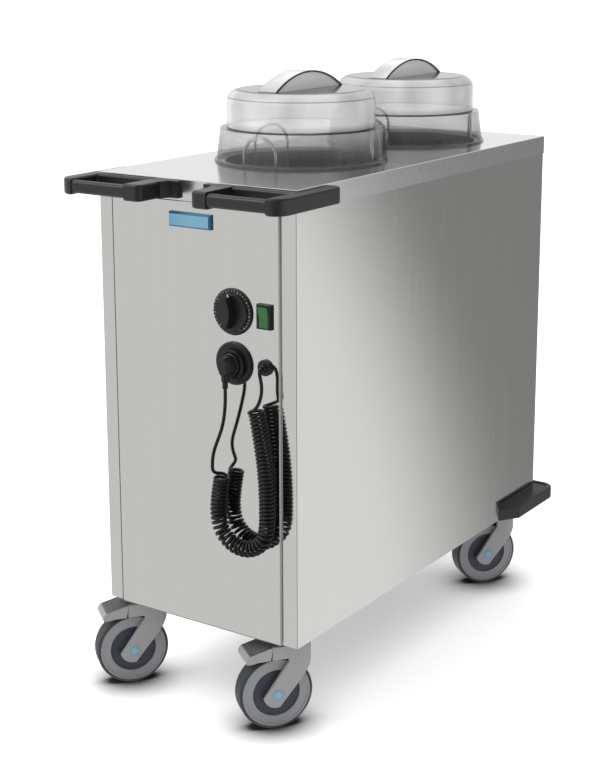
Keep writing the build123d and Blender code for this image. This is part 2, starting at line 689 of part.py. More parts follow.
def thermostat():
    width, depth, height = THERMOSTAT_SIZE
    case = block((-width / 2, width / 2), (SHEET, SHEET + depth), (-height / 2, height / 2))
    case = chamfer(case.edges().filter_by(Axis.Y), SHEET * 2)
    case += cross_bar(bushing_radius(), 0, SHEET)
    return on_panel(case - cross_bar(SHAFT_R + RUNNING, 0, SHAFT_L + SHEET), KNOB_X, KNOB_DROP)


def switch_body_half():
    """Half width and half height of the switch where it passes through the panel."""
    return SWITCH_W / 2 - PANEL_GAP, SWITCH_H / 2 - SHEET / 2


def rocker_half():
    return SWITCH_W / 2 - SWITCH_RIM - ROCKER_GAP


def switch_frame():
    half_w, half_h = switch_body_half()
    bezel = block((-SWITCH_W / 2, SWITCH_W / 2), (-SWITCH_PROUD, 0), (-SWITCH_H / 2, SWITCH_H / 2))
    bezel = chamfer(bezel.faces().sort_by(Axis.Y)[0].edges(), SHEET)
    bezel += block((-half_w, half_w), (0, SWITCH_DEPTH), (-half_h, half_h))
    open_x = rocker_half() + ROCKER_GAP
    open_z = ROCKER_H / 2 + 2 * ROCKER_GAP
    bezel -= block((-open_x, open_x), (-SWITCH_PROUD, SWITCH_DEPTH / 2), (-open_z, open_z))
    trunnions = Rot(0, 90, 0) * Cylinder(TRUNNION_R + RUNNING, 2 * (open_x + SHEET) + ROCKER_GAP)
    return on_panel(bezel - trunnions, SWITCH_X, SWITCH_DROP)


def rocker():
    """The green button, tipped to its first position about the line of its trunnions."""
    half = ROCKER_H / 2
    proud = SWITCH_PROUD + 1
    back = SWITCH_DEPTH / 3
    side = outline((-proud, half), (ROCKER_DIP - proud, 0), (-proud, -half), (0, -half),
                   (back, -half / 2), (back, half / 2), (0, half))
    button = extrude(Plane.YZ * side, rocker_half(), both=True)
    button += Rot(0, 90, 0) * Cylinder(TRUNNION_R, 2 * (rocker_half() + ROCKER_GAP + SHEET))
    return on_panel(Rot(ROCKER_TILT, 0, 0) * button, SWITCH_X, SWITCH_DROP)


def parking_socket():
    back = PLUG_L - COLLAR_H + PIN_L + SHEET
    body = turned_y((0, back), (COLLAR_R, back), (COLLAR_R, 0), (SOCKET_R, 0),
                    (SOCKET_R, -SOCKET_T / 2), (SOCKET_R - SOCKET_T / 2, -SOCKET_T),
                    (COLLAR_R, -SOCKET_T), (COLLAR_R, -COLLAR_H), (SOCKET_BORE_R, -COLLAR_H),
                    (SOCKET_BORE_R, socket_floor()), (0, socket_floor()))
    for x in (-PIN_SPACING / 2, PIN_SPACING / 2):
        pin_hole = cross_bar(PIN_R + BOLT_FIT, socket_floor(), socket_floor() + PIN_L + SHEET)
        body -= Pos(x, 0, 0) * pin_hole
    return on_panel(body, SOCKET_X, SOCKET_DROP)


def socket_floor():
    """Depth of the socket's floor behind the panel's face."""
    return SOCKET_T


def mains_plug():
    """Right-angled plug: a round body along Y, a lead arm that leaves it downwards, two pins."""
    base = socket_floor()
    front = base - PLUG_L - COLLAR_H
    body = turned_y((0, base), (PLUG_R, base), (PLUG_R, front + PLUG_NOSE), (PLUG_R - PLUG_NOSE, front),
                    (0, front))
    arm_z = plug_exit_drop()
    arm = Pos(0, -CORD_STAND, -arm_z / 2) * Cone(SLEEVE_R + SHEET, PLUG_R / 2, arm_z)
    body += arm
    for x in (-PIN_SPACING / 2, PIN_SPACING / 2):
        body += Pos(x, 0, 0) * cross_bar(PIN_R, base, base + PIN_L)
    return on_panel(body, SOCKET_X, SOCKET_DROP)


def plug_exit_drop():
    """From the middle of the plug down to the end of its arm."""
    return PLUG_R + SLEEVE_R + SHEET


def sleeve_top():
    return DECK_Z - SOCKET_DROP - plug_exit_drop()


def strain_relief():
    pitch = SLEEVE_L / (2 * SLEEVE_RIBS)
    neck = SLEEVE_R - SHEET / 2
    points = [(0, 0)]
    for rib in range(SLEEVE_RIBS):
        top = -2 * rib * pitch
        points += [(SLEEVE_R, top), (SLEEVE_R, top - pitch), (neck, top - pitch), (neck, top - 2 * pitch)]
    points.append((0, -SLEEVE_L))
    return Pos(SOCKET_X, CORD_Y, sleeve_top()) * turned_z(*points)


def cable_gland():
    step = -GLAND_L / 2
    nut = turned_y((0, GLAND_THREAD_L), (GLAND_NOSE_R, GLAND_THREAD_L), (GLAND_NOSE_R, 0), (GLAND_R, 0),
                   (GLAND_R, -GLAND_L / 3), (GLAND_R - SHEET, step), (GLAND_NOSE_R, step),
                   (GLAND_NOSE_R - SHEET, -GLAND_L), (0, -GLAND_L))
    return on_panel(nut, GLAND_X, GLAND_DROP)


def badge_plate():
    plate = block((-BADGE_W / 2, BADGE_W / 2), (-BADGE_T, 0), (-BADGE_H / 2, BADGE_H / 2))
    plate = chamfer(plate.faces().sort_by(Axis.Y)[0].edges(), BADGE_BEVEL)
    return on_panel(plate, BADGE_X, BADGE_DROP)


# ---------------------------------------------------------------- cord
def bend_radii(points, share=0.45):
    """The largest bend at each corner that uses this share of the shorter run beside it."""
    radii = []
    for before, corner, after in zip(points, points[1:], points[2:]):
        runs = (corner - before, after - corner)
        turn = radians(runs[0].get_angle(runs[1]))
        radii.append(share * min(run.length for run in runs) / (sin(turn / 2) / cos(turn / 2)))
    return radii


def coil_axis():
    """Centre line of the hanging coil, in its own plane in front of the panel."""
    points = [Vector(GLAND_X + x, CORD_Y, GLAND_Z + z) for x, z in COIL_ROUTE]
    return FilletPolyline(*points, radius=bend_radii(points, 0.49))


def coil_frame(axis, length, place):
    """Point, direction and curvature of the coil's centre line at a distance along it."""
    along = axis % (place / length)
    ahead = axis % (min(place + WIRE_D, length) / length)
    behind = axis % (max(place - WIRE_D, 0) / length)
    bend = radians(max(along.get_angle(ahead), along.get_angle(behind))) / WIRE_D
    return axis @ (place / length), along, bend


def curl_nodes():
    """Where the wire crosses the inner and the outer side of the bend, and its direction there."""
    axis = coil_axis()
    length = axis.length
    backward = Vector(0, 1, 0)
    nodes = []
    place = 0.0
    side = 1
    while place <= length:
        point, along, bend = coil_frame(axis, length, place)
        pitch = CURL_PITCH / (1 - bend * CURL_R)
        inward = backward.cross(along)
        swing = backward * (side * 2 * pi * CURL_R / pitch)
        heading = along * (1 - side * bend * CURL_R) + swing
        nodes.append((point + inward * (side * CURL_R), heading.normalized()))
        place += pitch / 2
        side = -side
    return nodes if side > 0 else nodes[:-1]


def biarc(start, heading, end, leaving):
    """Two arcs that join two points in their two directions."""
    span = end - start
    both = heading + leaving
    left = 4 - both.dot(both)
    reach = (sqrt(span.dot(both) ** 2 + left * span.dot(span)) - span.dot(both)) / left
    middle = (start + heading * reach + end - leaving * reach) * 0.5
    turning = (end - leaving * reach) - (start + heading * reach)
    return [Edge.make_tangent_arc(start, heading, middle), Edge.make_tangent_arc(middle, turning, end)]


def coil_ends(nodes):
    """The two ends of the coil's straight tails, and the way the wire runs there."""
    (first, entering), (last, leaving) = nodes[0], nodes[-1]
    return first - entering * WIRE_D, entering, last + leaving * WIRE_D, leaving


def cord_coil(nodes):
    start, entering, end, leaving = coil_ends(nodes)
    edges = [Edge.make_line(start, nodes[0][0])]
    for (point, heading), (following, turned) in zip(nodes, nodes[1:]):
        edges += biarc(point, heading, following, turned)
    edges.append(Edge.make_line(nodes[-1][0], end))
    path = Wire(edges)
    section = Plane(origin=start, z_dir=entering) * RegularPolygon(WIRE_D / 2, 4)
    coil = sweep(section, path=path, clean=False)
    report_gap(edges)
    print("coil: curls", (len(nodes) - 1) / 2, "volume", round(coil.volume), "section x length",
          round(WIRE_D ** 2 / 2 * path.length))
    return coil


def report_gap(edges):
    """Prints the least distance between two turns of the coil, surface to surface."""
    samples = 6
    points = [edge @ (step / samples) for edge in edges for step in range(samples)]
    nearest = min((a - b).length for index, a in enumerate(points)
                  for b in points[index + 3 * samples:index + 10 * samples])
    print("coil: least gap to itself", round(nearest - WIRE_D, 2), "mm")


def lead(name, points):
    radii = bend_radii(points)
    path = FilletPolyline(*points, radius=radii)
    tube = sweep(Plane(origin=points[0], z_dir=points[1] - points[0]) * Circle(WIRE_D / 2), path=path)
    print(name, "bend radii", [round(radius) for radius in radii], "length", round(path.length), "volume",
          round(tube.volume), "section x length", round(pi * WIRE_D ** 2 / 4 * path.length))
    return tube


def hung(route):
    """Points of a lead that are measured from the gland."""
    return [Vector(GLAND_X + x, PANEL_Y - out, GLAND_Z + z) for x, out, z in route]


def cord_lead_gland(nodes):
    coil_start, entering, _, _ = coil_ends(nodes)
    start = Vector(GLAND_X, PANEL_Y - GLAND_L, GLAND_Z)
    return lead("gland lead", [start] + hung(GLAND_LEAD) + [coil_start - entering * COIL_TAIL, coil_start])


def cord_lead_plug(nodes):
    _, _, coil_end, leaving = coil_ends(nodes)
    end = Vector(SOCKET_X, CORD_Y, sleeve_top() - SLEEVE_L)
    below = end - Vector(0, 0, LEAD_END_L)
    return lead("plug lead", [coil_end, coil_end + leaving * COIL_TAIL] + hung(PLUG_LEAD) + [below, end])


# ---------------------------------------------------------------- castors
def from_axle(x, z):
    """A point measured from the wheel's axle, in the castor's own frame about its swivel axis."""
    return (x - TRAIL, z + WHEEL_R)


def castor_fork(braked):
    """Deep pressed fork: two legs, a rounded front wall and a crown, open to the wheel."""
    front = FORK_W / 2
    crown_x = CROWN_BACK - TRAIL
    cheek_x = CHEEK_END - TRAIL
    low_z = CHEEK_LOW_Z if braked else CROWN_Z - CROWN_T
    cheek = [(crown_x, low_z)]
    if braked:
        cheek = [(cheek_x, low_z), (cheek_x, CHEEK_TOP_Z), (crown_x, CHEEK_TOP_Z)]
    heel = from_axle(*LEG_HEEL)
    toe = from_axle(*LEG_TOE)
    back = from_axle(*LEG_BACK)
    top = from_axle(*LEG_TOP)
    edges = Polyline(back, top, (top[0], low_z), *cheek, (crown_x, CROWN_Z), (front, CROWN_Z),
                     (front, LEG_FRONT_Z), heel)
    leg = make_face(edges + ThreePointArc(heel, toe, back))
    fork = extrude(Plane.XZ * leg, front, both=True) & stand(stadium(front), 0, CASTOR_H)
    fork -= stand(stadium(front - LEG_T), 0, CROWN_Z - CROWN_T)
    if braked:
        slot = block((-2 * WHEEL_R, crown_x), (LEG_T - front, front - LEG_T), (0, CROWN_Z))
        pin = cross_bar(PEDAL_PIN_R, LEG_T / 2 - front, front - LEG_T / 2)
        fork = fork - slot + Pos(PEDAL_PIN[0] - TRAIL, 0, PEDAL_PIN[1]) * pin
    fork += pillar(RACE_R - SHEET, CROWN_Z, race_top())
    fork -= pillar(KINGPIN_R + RUNNING, CROWN_Z - CROWN_T, race_top())
    return fork - Pos(-TRAIL, 0, WHEEL_R) * cross_bar(AXLE_R + BOLT_FIT / 2, -front, front)


def stadium(half):
    """Plan of the fork: straight sides and a round front about the swivel axis."""
    tail = Pos(-WHEEL_R, 0) * Rectangle(2 * WHEEL_R, 2 * half)
    return Circle(half) + tail


def race_top():
    return CASTOR_H - RACE_GAP - SHEET


def castor_axle():
    """Axle with the round caps that close both ends."""
    half = FORK_W / 2
    end = half + CAP_T
    shaft = turned_y((0, -end), (CAP_R, -end), (CAP_R, -half), (AXLE_R, -half), (AXLE_R, half),
                     (CAP_R, half), (CAP_R, end), (0, end))
    return Pos(-TRAIL, 0, WHEEL_R) * shaft


def tyre():
    half = TYRE_W / 2
    soft = WHEEL_R - TYRE_CHAMFER
    side = half - TYRE_CHAMFER
    band = turned_y((RIM_R, -half), (soft, -half), (WHEEL_R, -side), (WHEEL_R, side), (soft, half),
                    (RIM_R, half))
    return Pos(-TRAIL, 0, WHEEL_R) * band


def wheel_core():
    """Hub, disc and ring in one moulding that turns on the axle."""
    bore = AXLE_R + RUNNING
    hub = FORK_W / 2 - LEG_T - HUB_GAP
    right = [(bore, hub), (HUB_R, hub), (HUB_R, DISC_W / 2), (RING_R, DISC_W / 2), (RING_R, RING_W / 2),
             (RIM_R, RING_W / 2)]
    left = [(radius, -place) for radius, place in reversed(right)]
    return Pos(-TRAIL, 0, WHEEL_R) * turned_y(*(right + left))


def brake_pedal():
    """Hooded pedal with a grooved tread; it tips on the pin between the fork's cheeks."""
    start = CHEEK_END - PEDAL_SLOT - TRAIL
    end = start - PEDAL_L
    lip = PEDAL_WALL / 2
    nose = (end + PEDAL_NOSE_L, PEDAL_TOP_Z - PEDAL_FALL)
    toe = (end + lip, PEDAL_LOW_Z + lip)
    swept = start - (PEDAL_PIN[1] - CHEEK_LOW_Z) * sin(radians(PEDAL_SWING))
    edges = Polyline(nose, (start, PEDAL_TOP_Z), (start, PEDAL_PIN[1]), (swept, CHEEK_LOW_Z),
                     (end + 2 * PEDAL_NOSE_L, CHEEK_LOW_Z), (end + PEDAL_NOSE_L, PEDAL_LOW_Z),
                     (end + PEDAL_WALL, PEDAL_LOW_Z), toe)
    front = ThreePointArc(toe, (end + lip, PEDAL_TOP_Z - 2 * PEDAL_FALL), nose)
    hood = extrude(Plane.XZ * make_face(edges + front), FORK_W / 2, both=True)
    half = FORK_W / 2 - PEDAL_SKIRT_T
    hood -= block((end + PEDAL_WALL, start), (-half, half), (0, PEDAL_HOLLOW_Z))
    reach = FORK_W / 2 - TREAD_MARGIN
    for index in range(TREAD_GROOVES):
        back = TREAD_PITCH * (index + 1)
        floor = PEDAL_TOP_Z - PEDAL_FALL * back / (PEDAL_L - PEDAL_NOSE_L) - TREAD_DEPTH
        cut = (start - back - TREAD_CUT_W / 2, start - back + TREAD_CUT_W / 2)
        hood -= block(cut, (-reach, reach), (floor, CROWN_Z))
    return hood + pedal_tongue(start)


def pedal_tongue(start):
    """The narrow end between the cheeks, bored for the pin."""
    half = FORK_W / 2 - LEG_T - PEDAL_SLOT
    tongue = block((start, TONGUE_END - TRAIL), (-half, half), (PEDAL_HOLLOW_Z, CHEEK_TOP_Z - SHEET))
    x, z = PEDAL_PIN
    return tongue - Pos(x - TRAIL, 0, z) * cross_bar(PEDAL_PIN_R + RUNNING, -half, half)


def castor_plate():
    """Mounting plate with the kingpin that the fork turns on."""
    plate = stand(RectangleRounded(PLATE_W, PLATE_L, PLATE_CORNER_R), BODY_BOTTOM, TRAY_Z)
    for x in (-BOLT_PITCH_X / 2, BOLT_PITCH_X / 2):
        for y in (-BOLT_PITCH_Y / 2, BOLT_PITCH_Y / 2):
            plate -= Pos(x, y, 0) * pillar(BOLT_R + BOLT_FIT, BODY_BOTTOM, TRAY_Z)
    head_top = CROWN_Z - CROWN_T - RACE_GAP
    head_low = head_top - KINGPIN_HEAD_T
    race_low = CASTOR_H - SHEET
    pin = turned_z((0, head_low), (KINGPIN_HEAD_R, head_low), (KINGPIN_HEAD_R, head_top),
                   (KINGPIN_R, head_top), (KINGPIN_R, race_low), (RACE_R, race_low), (RACE_R, CASTOR_H),
                   (0, CASTOR_H))
    return plate + pin


def castor_plates():
    return group([Pos(x, y, 0) * castor_plate() for x, y in CASTORS.values()])


def bolt_places():
    return [(x + side_x * BOLT_PITCH_X / 2, y + side_y * BOLT_PITCH_Y / 2)
            for x, y in CASTORS.values() for side_x in (-1, 1) for side_y in (-1, 1)]


def castor_screws():
    """Hexagon bolts from below, with their nuts on the floor tray."""
    hexagon = RegularPolygon(BOLT_HEAD_R, 6)
    nut_top = FLOOR_Z + BOLT_HEAD_T
    bolt = stand(hexagon, BODY_BOTTOM - BOLT_HEAD_T, BODY_BOTTOM) + stand(hexagon, FLOOR_Z, nut_top)
    bolt += pillar(BOLT_R, BODY_BOTTOM, nut_top + BOLT_HEAD_T / 2)
    return group([Pos(x, y, 0) * bolt for x, y in bolt_places()])


# ---------------------------------------------------------------- the cart
def castor_parts(name, x, y):
    braked = name.startswith("front")
    place = Pos(x, y, 0) * Rot(0, 0, CASTOR_TURN)
    parts = {
        f"castor_fork_{name}": place * castor_fork(braked),
        f"castor_axle_{name}": place * castor_axle(),
        f"tyre_{name}": place * tyre(),
        f"wheel_core_{name}": place * wheel_core(),
    }
    if braked:
        parts[f"brake_pedal_{name}"] = place * brake_pedal()
    return parts


def cart():
    nodes = curl_nodes()
    parts = {
        "deck": deck(),
        "front_panel": front_panel(),
        "rear_panel": rear_panel(),
        "base_frame": base_frame(),
        "corner_posts": corner_posts(),
        "castor_plates": castor_plates(),
        "castor_screws": castor_screws(),
        "plate_guides": plate_guides(),
        "heating_elements": heating_elements(),
        "handle_bars": handle_bars(),
        "handle_brackets": handle_brackets(),
        "dial_ring": dial_ring(),
        "control_knob": control_knob(),
        "thermostat": thermostat(),
        "switch_frame": switch_frame(),
        "rocker": rocker(),
        "parking_socket": parking_socket(),
        "mains_plug": mains_plug(),
        "strain_relief": strain_relief(),
        "cable_gland": cable_gland(),
        "badge_plate": badge_plate(),
        "cord_coil": cord_coil(nodes),
        "cord_lead_gland": cord_lead_gland(nodes),
        "cord_lead_plug": cord_lead_plug(nodes),
    }
    for name, side in SIDES.items():
        parts[f"side_panel_{name}"] = side_panel(side)
        parts[f"handle_corner_{name}"] = handle_corner(side)
        parts[f"rear_bumper_{name}"] = rear_bumper(side)
    for name, y in STACKS.items():
        parts[f"stack_tube_{name}"] = stack_tube(y)
        parts[f"platform_{name}"] = platform(y)
        parts[f"carriage_{name}"] = carriage(y)
        parts[f"springs_{name}"] = springs(y)
        parts[f"cover_{name}"] = cover(y)
    for name, (x, y) in CASTORS.items():
        parts.update(castor_parts(name, x, y))
    return parts


os.makedirs("parts", exist_ok=True)
for node, shape in cart().items():
    export_step(Pos(0, CENTRE_Y, 0) * shape, f"parts/{node}.step")
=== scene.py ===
import json
from math import cos, pi, radians, sin

import bmesh
import bpy
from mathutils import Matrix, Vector


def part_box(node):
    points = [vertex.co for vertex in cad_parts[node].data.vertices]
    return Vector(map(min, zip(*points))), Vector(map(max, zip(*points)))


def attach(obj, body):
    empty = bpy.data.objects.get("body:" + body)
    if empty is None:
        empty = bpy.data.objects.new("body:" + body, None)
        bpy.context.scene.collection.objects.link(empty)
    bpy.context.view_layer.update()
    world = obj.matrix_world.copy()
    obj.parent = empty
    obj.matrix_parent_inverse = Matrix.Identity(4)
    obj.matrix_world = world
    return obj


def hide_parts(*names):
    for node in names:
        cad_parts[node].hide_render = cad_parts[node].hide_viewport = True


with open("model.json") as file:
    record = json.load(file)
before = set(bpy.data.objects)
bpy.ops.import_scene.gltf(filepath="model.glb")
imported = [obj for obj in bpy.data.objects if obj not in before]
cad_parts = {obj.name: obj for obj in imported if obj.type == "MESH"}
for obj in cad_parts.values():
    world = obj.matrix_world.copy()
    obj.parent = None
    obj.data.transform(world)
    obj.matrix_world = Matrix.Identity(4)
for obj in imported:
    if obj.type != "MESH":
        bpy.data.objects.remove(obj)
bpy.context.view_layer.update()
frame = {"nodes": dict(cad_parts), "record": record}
nodes = frame["nodes"]
scene = bpy.context.scene


def middle_of(node):
    low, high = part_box(node)
    return (low + high) / 2


def on_panel(node):
    """The middle of a fitting, on the face of the front panel."""
    middle = middle_of(node)
    return Vector((middle.x, PANEL, middle.z))


# Camera fitted to the photograph: place in the row frame, and turns about X, Y and Z in degrees.
LENS = 73.10
SHIFT_Y = -0.1202
CAMERA_AT = (1.50593, -2.34316, 1.24835)
CAMERA_TURN = (77.7349, 0.1283, 34.0389)

DECK_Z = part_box("deck")[1].z
COVER_H = 0.122             # deck to the flat top of a cover
TOP_Z = DECK_Z + COVER_H
GRIP_HALF_L = 0.105
GRIP_W = 0.0360
GRIP_T = 0.0030
GRIP_RISE = 0.0310
WEB_T = 0.0012              # thin walls under a grip
FOLD_R = 0.0012             # bends of the side and front sheets
DIAL_TICKS = 29
DIAL_SWEEP = 270            # degrees
TICK_R = 0.0352
POINTER_R = 0.0262
POINTER_ANGLE = -14
DIAL_FACE = 0.00405         # ticks in front of the panel
KNOB_FACE = 0.00655         # pointer in front of the panel
MARK_T = 0.00012
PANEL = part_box("front_panel")[0].y
KNOB = on_panel("control_knob")
GLAND = on_panel("cable_gland")
WIRE_D = 0.0056
CURL_R = 0.0106
CURL_PITCH = 0.00615
CORD_STAND = 0.026          # panel to the axis of the coil's solid
CURLS = 58.5
CURL_STEPS = 12
SPLINE_CUT = 0.75 + 0.25 * cos(2 * pi / CURL_STEPS)   # a spline of order 3 runs inside its points
PLUG_OUT = 0.0335           # front of the plug's grip from the panel
NEARER = Vector((-0.0048, 0.0065, -0.0029))   # the coil hangs closer to the panel than its solid
LEAD_FALL = 0.045           # over this height the leads come from their holders to the coil
# Axis of the hanging coil, as X and height from the gland.
COIL_ROUTE = ((0.0001, -0.0635), (0.0097, -0.1103), (0.0177, -0.1633), (0.0202, -0.2133),
              (0.0192, -0.2610), (0.0065, -0.2831), (-0.0156, -0.2958), (-0.0410, -0.2958),
              (-0.0631, -0.2831), (-0.0758, -0.2610), (-0.0766, -0.2233), (-0.0679, -0.1813))
# Loose leads, as X from the gland, distance in front of the panel and height from the gland.
GLAND_LEAD = ((0.0000, 0.0110, 0.0000), (0.0000, 0.0180, 0.0000), (0.0050, 0.0230, -0.0070),
              (0.0090, 0.0245, -0.0175), (0.0106, 0.0255, -0.0300), (0.0104, 0.0290, -0.0420),
              (0.0090, 0.0345, -0.0520), (0.0045, 0.0395, -0.0590), (-0.0035, 0.0425, -0.0635))
PLUG_LEAD = ((-0.0775, 0.0385, -0.1715), (-0.0795, 0.0360, -0.1615), (-0.0810, 0.0325, -0.1495),
             (-0.0789, 0.0293, -0.1355), (-0.0732, 0.0275, -0.1200), (-0.0662, 0.0267, -0.1015),
             (-0.0619, 0.0263, -0.0820), (-0.0598, 0.0260, -0.0620), (-0.0595, 0.0260, -0.0469),
             (-0.0595, 0.0260, -0.0369))

AXLE = next(joint["axis"] for joint in frame["record"]["behaviour"]["joints"]
            if joint["name"] == "wheel_front_left_roll")
RING_GREY = (0.20, 0.205, 0.215)
CHARCOAL = (0.022, 0.025, 0.028)
CASTORS = ("front_left", "front_right", "rear_left", "rear_right")
WHITE = 1.4                 # strength of the white that the camera sees


def new_object(name, data):
    obj = bpy.data.objects.new(name, data)
    scene.collection.objects.link(obj)
    return obj


def mesh_object(name, build):
    """An object from a bmesh, which is freed."""
    mesh = bpy.data.meshes.new(name)
    build.to_mesh(mesh)
    build.free()
    return new_object(name, mesh)


def thicken(obj, thickness, offset):
    skin = obj.modifiers.new("skin", "SOLIDIFY")
    skin.thickness = thickness
    skin.offset = offset


# ---------------------------------------------------------------- camera
def camera():
    data = bpy.data.cameras.new("camera")
    data.sensor_width = 36.0
    data.lens = LENS
    data.shift_y = SHIFT_Y
    data.clip_end = 100.0
    obj = new_object("camera", data)
    obj.location = CAMERA_AT
    obj.rotation_euler = [radians(angle) for angle in CAMERA_TURN]
    scene.camera = obj


# ---------------------------------------------------------------- cord
def spline_curve(name, points, radius=0.0, resolution=3):
    """A curve of one spline; its thickness is set on its points, so that its bounds are right."""
    data = bpy.data.curves.new(name, "CURVE")
    data.dimensions = "3D"
    data.resolution_u = resolution
    data.bevel_depth = 1.0 if radius else 0.0
    data.bevel_resolution = 3
    data.use_fill_caps = radius > 0
    spline = data.splines.new("NURBS")
    spline.points.add(len(points) - 1)
    for slot, point in zip(spline.points, points):
        slot.co = (*point, 1.0)
        slot.radius = radius or 1.0
    spline.order_u = 3
    spline.use_endpoint_u = True
    return new_object(name, data)


def spline_points(points):
    """Points read along the spline of a route."""
    obj = spline_curve("route", points, resolution=60)
    bpy.context.view_layer.update()
    mesh = bpy.data.meshes.new_from_object(obj)
    read = [vertex.co.copy() for vertex in mesh.vertices]
    bpy.data.objects.remove(obj)
    bpy.data.meshes.remove(mesh)
    return read


def from_gland(x, out, up):
    """A place given from the gland, with its distance in front of the panel."""
    return GLAND + Vector((x, -out, up))


def lead_points(route, holder):
    """A lead's points, which come nearer with the coil the lower they are under their holder."""
    return [from_gland(*point) + NEARER * min(max((holder - point[2]) / LEAD_FALL, 0.0), 1.0)
            for point in route]


def curl_points():
    """Points round the coil's axis, evenly spread over its turns."""
    axis = spline_points([from_gland(x, CORD_STAND, z) + NEARER for x, z in COIL_ROUTE])
    backward = Vector((0, 1, 0))
    turned = [0.0]
    headings = []
    for index in range(len(axis) - 1):
        here = (axis[index + 1] - axis[index]).normalized()
        far = min(index + 6, len(axis) - 2)
        near = max(index - 6, 0)
        ahead = (axis[far + 1] - axis[far]).normalized()
        behind = (axis[near + 1] - axis[near]).normalized()
        bend = ahead.angle(behind, 0.0) / max((axis[far] - axis[near]).length, 1e-6)
        pitch = CURL_PITCH / (1 - bend * CURL_R)
        turned.append(turned[-1] + (axis[index + 1] - axis[index]).length / pitch)
        headings.append(here)
    headings.append(headings[-1])
    scale = CURLS / turned[-1]
    reach = CURL_R / SPLINE_CUT
    points = []
    index = 0
    for step in range(int(CURLS * CURL_STEPS) + 1):
        want = step / CURL_STEPS / scale
        while index < len(turned) - 2 and turned[index + 1] < want:
            index += 1
        part = (want - turned[index]) / max(turned[index + 1] - turned[index], 1e-9)
        along = headings[index].lerp(headings[index + 1], part).normalized()
        inward = backward.cross(along)
        angle = 2 * pi * step / CURL_STEPS
        middle = axis[index].lerp(axis[index + 1], part)
        points.append(middle + (inward * cos(angle) + backward * sin(angle)) * reach)
    return points


def loft(build, sections):
    """A closed skin over a row of outlines that have the same number of points."""
    rings = [[build.verts.new(point) for point in section] for section in sections]
    for first, second in zip(rings, rings[1:]):
        for index in range(len(first)):
            after = (index + 1) % len(first)
            build.faces.new((first[index], first[after], second[after], second[index]))
    build.faces.new(rings[0])
    build.faces.new(rings[-1])


def rounded(half_w, half_h, corner, steps=10):
    """Outline of a rectangle with round corners, as pairs."""
    points = []
    for index in range(4 * steps):
        quarter = index // steps
        side_w = 1 if quarter in (0, 3) else -1
        side_h = 1 if quarter in (0, 1) else -1
        angle = quarter * pi / 2 + (index % steps) * pi / 2 / (steps - 1)
        points.append((side_w * (half_w - corner) + corner * cos(angle),
                       side_h * (half_h - corner) + corner * sin(angle)))
    return points


def plug():
    """Right-angled plug: a round foot in the socket, a narrow grip and an arm down to the sleeve."""
    low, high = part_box("mains_plug")
    foot_r = (high.x - low.x) / 2
    edge_r = foot_r - 0.0012
    hub = Vector((low.x + foot_r, PANEL, high.z - foot_r))
    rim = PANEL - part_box("parking_socket")[0].y
    # Foot and grip, as distance from the panel, half width, half height and corner.
    body = ((PANEL - high.y, foot_r, foot_r, foot_r), (rim + 0.0020, foot_r, foot_r, foot_r),
            (rim + 0.0032, edge_r, edge_r, edge_r), (rim + 0.0034, 0.0105, 0.0165, 0.0100),
            (rim + 0.0070, 0.0090, 0.0162, 0.0086), (PLUG_OUT - 0.0025, 0.0082, 0.0155, 0.0078),
            (PLUG_OUT, 0.0062, 0.0135, 0.0058))
    # Arm, as height and radius.
    arm = ((hub.z - 0.006, 0.0070), (low.z + 0.004, 0.0062), (low.z, 0.0056))
    build = bmesh.new()
    loft(build, [[hub + Vector((x, -out, z)) for x, z in rounded(*size)] for out, *size in body])
    loft(build, [[Vector((hub.x + x, PANEL - CORD_STAND + y, level))
                  for x, y in rounded(radius, radius, radius)] for level, radius in arm])
    bmesh.ops.remove_doubles(build, verts=build.verts, dist=1e-7)
    bmesh.ops.recalc_face_normals(build, faces=build.faces)
    obj = mesh_object("plug", build)
    obj.data.shade_smooth()
    obj.data.set_sharp_from_angle(angle=radians(35))
    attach(obj, "cart")
    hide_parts("mains_plug")
    return obj


def cord():
    """The mains cord with its plug: lead from the gland, curls, lead to the plug."""
    points = (lead_points(GLAND_LEAD, GLAND_LEAD[1][2]) + curl_points()
              + lead_points(PLUG_LEAD, PLUG_LEAD[-2][2]))
    obj = spline_curve("cord", points, WIRE_D / 2)
    head = plug()
    read = spline_points(points)
    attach(obj, "cart")
    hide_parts("cord_coil", "cord_lead_gland", "cord_lead_plug")
    return obj, head


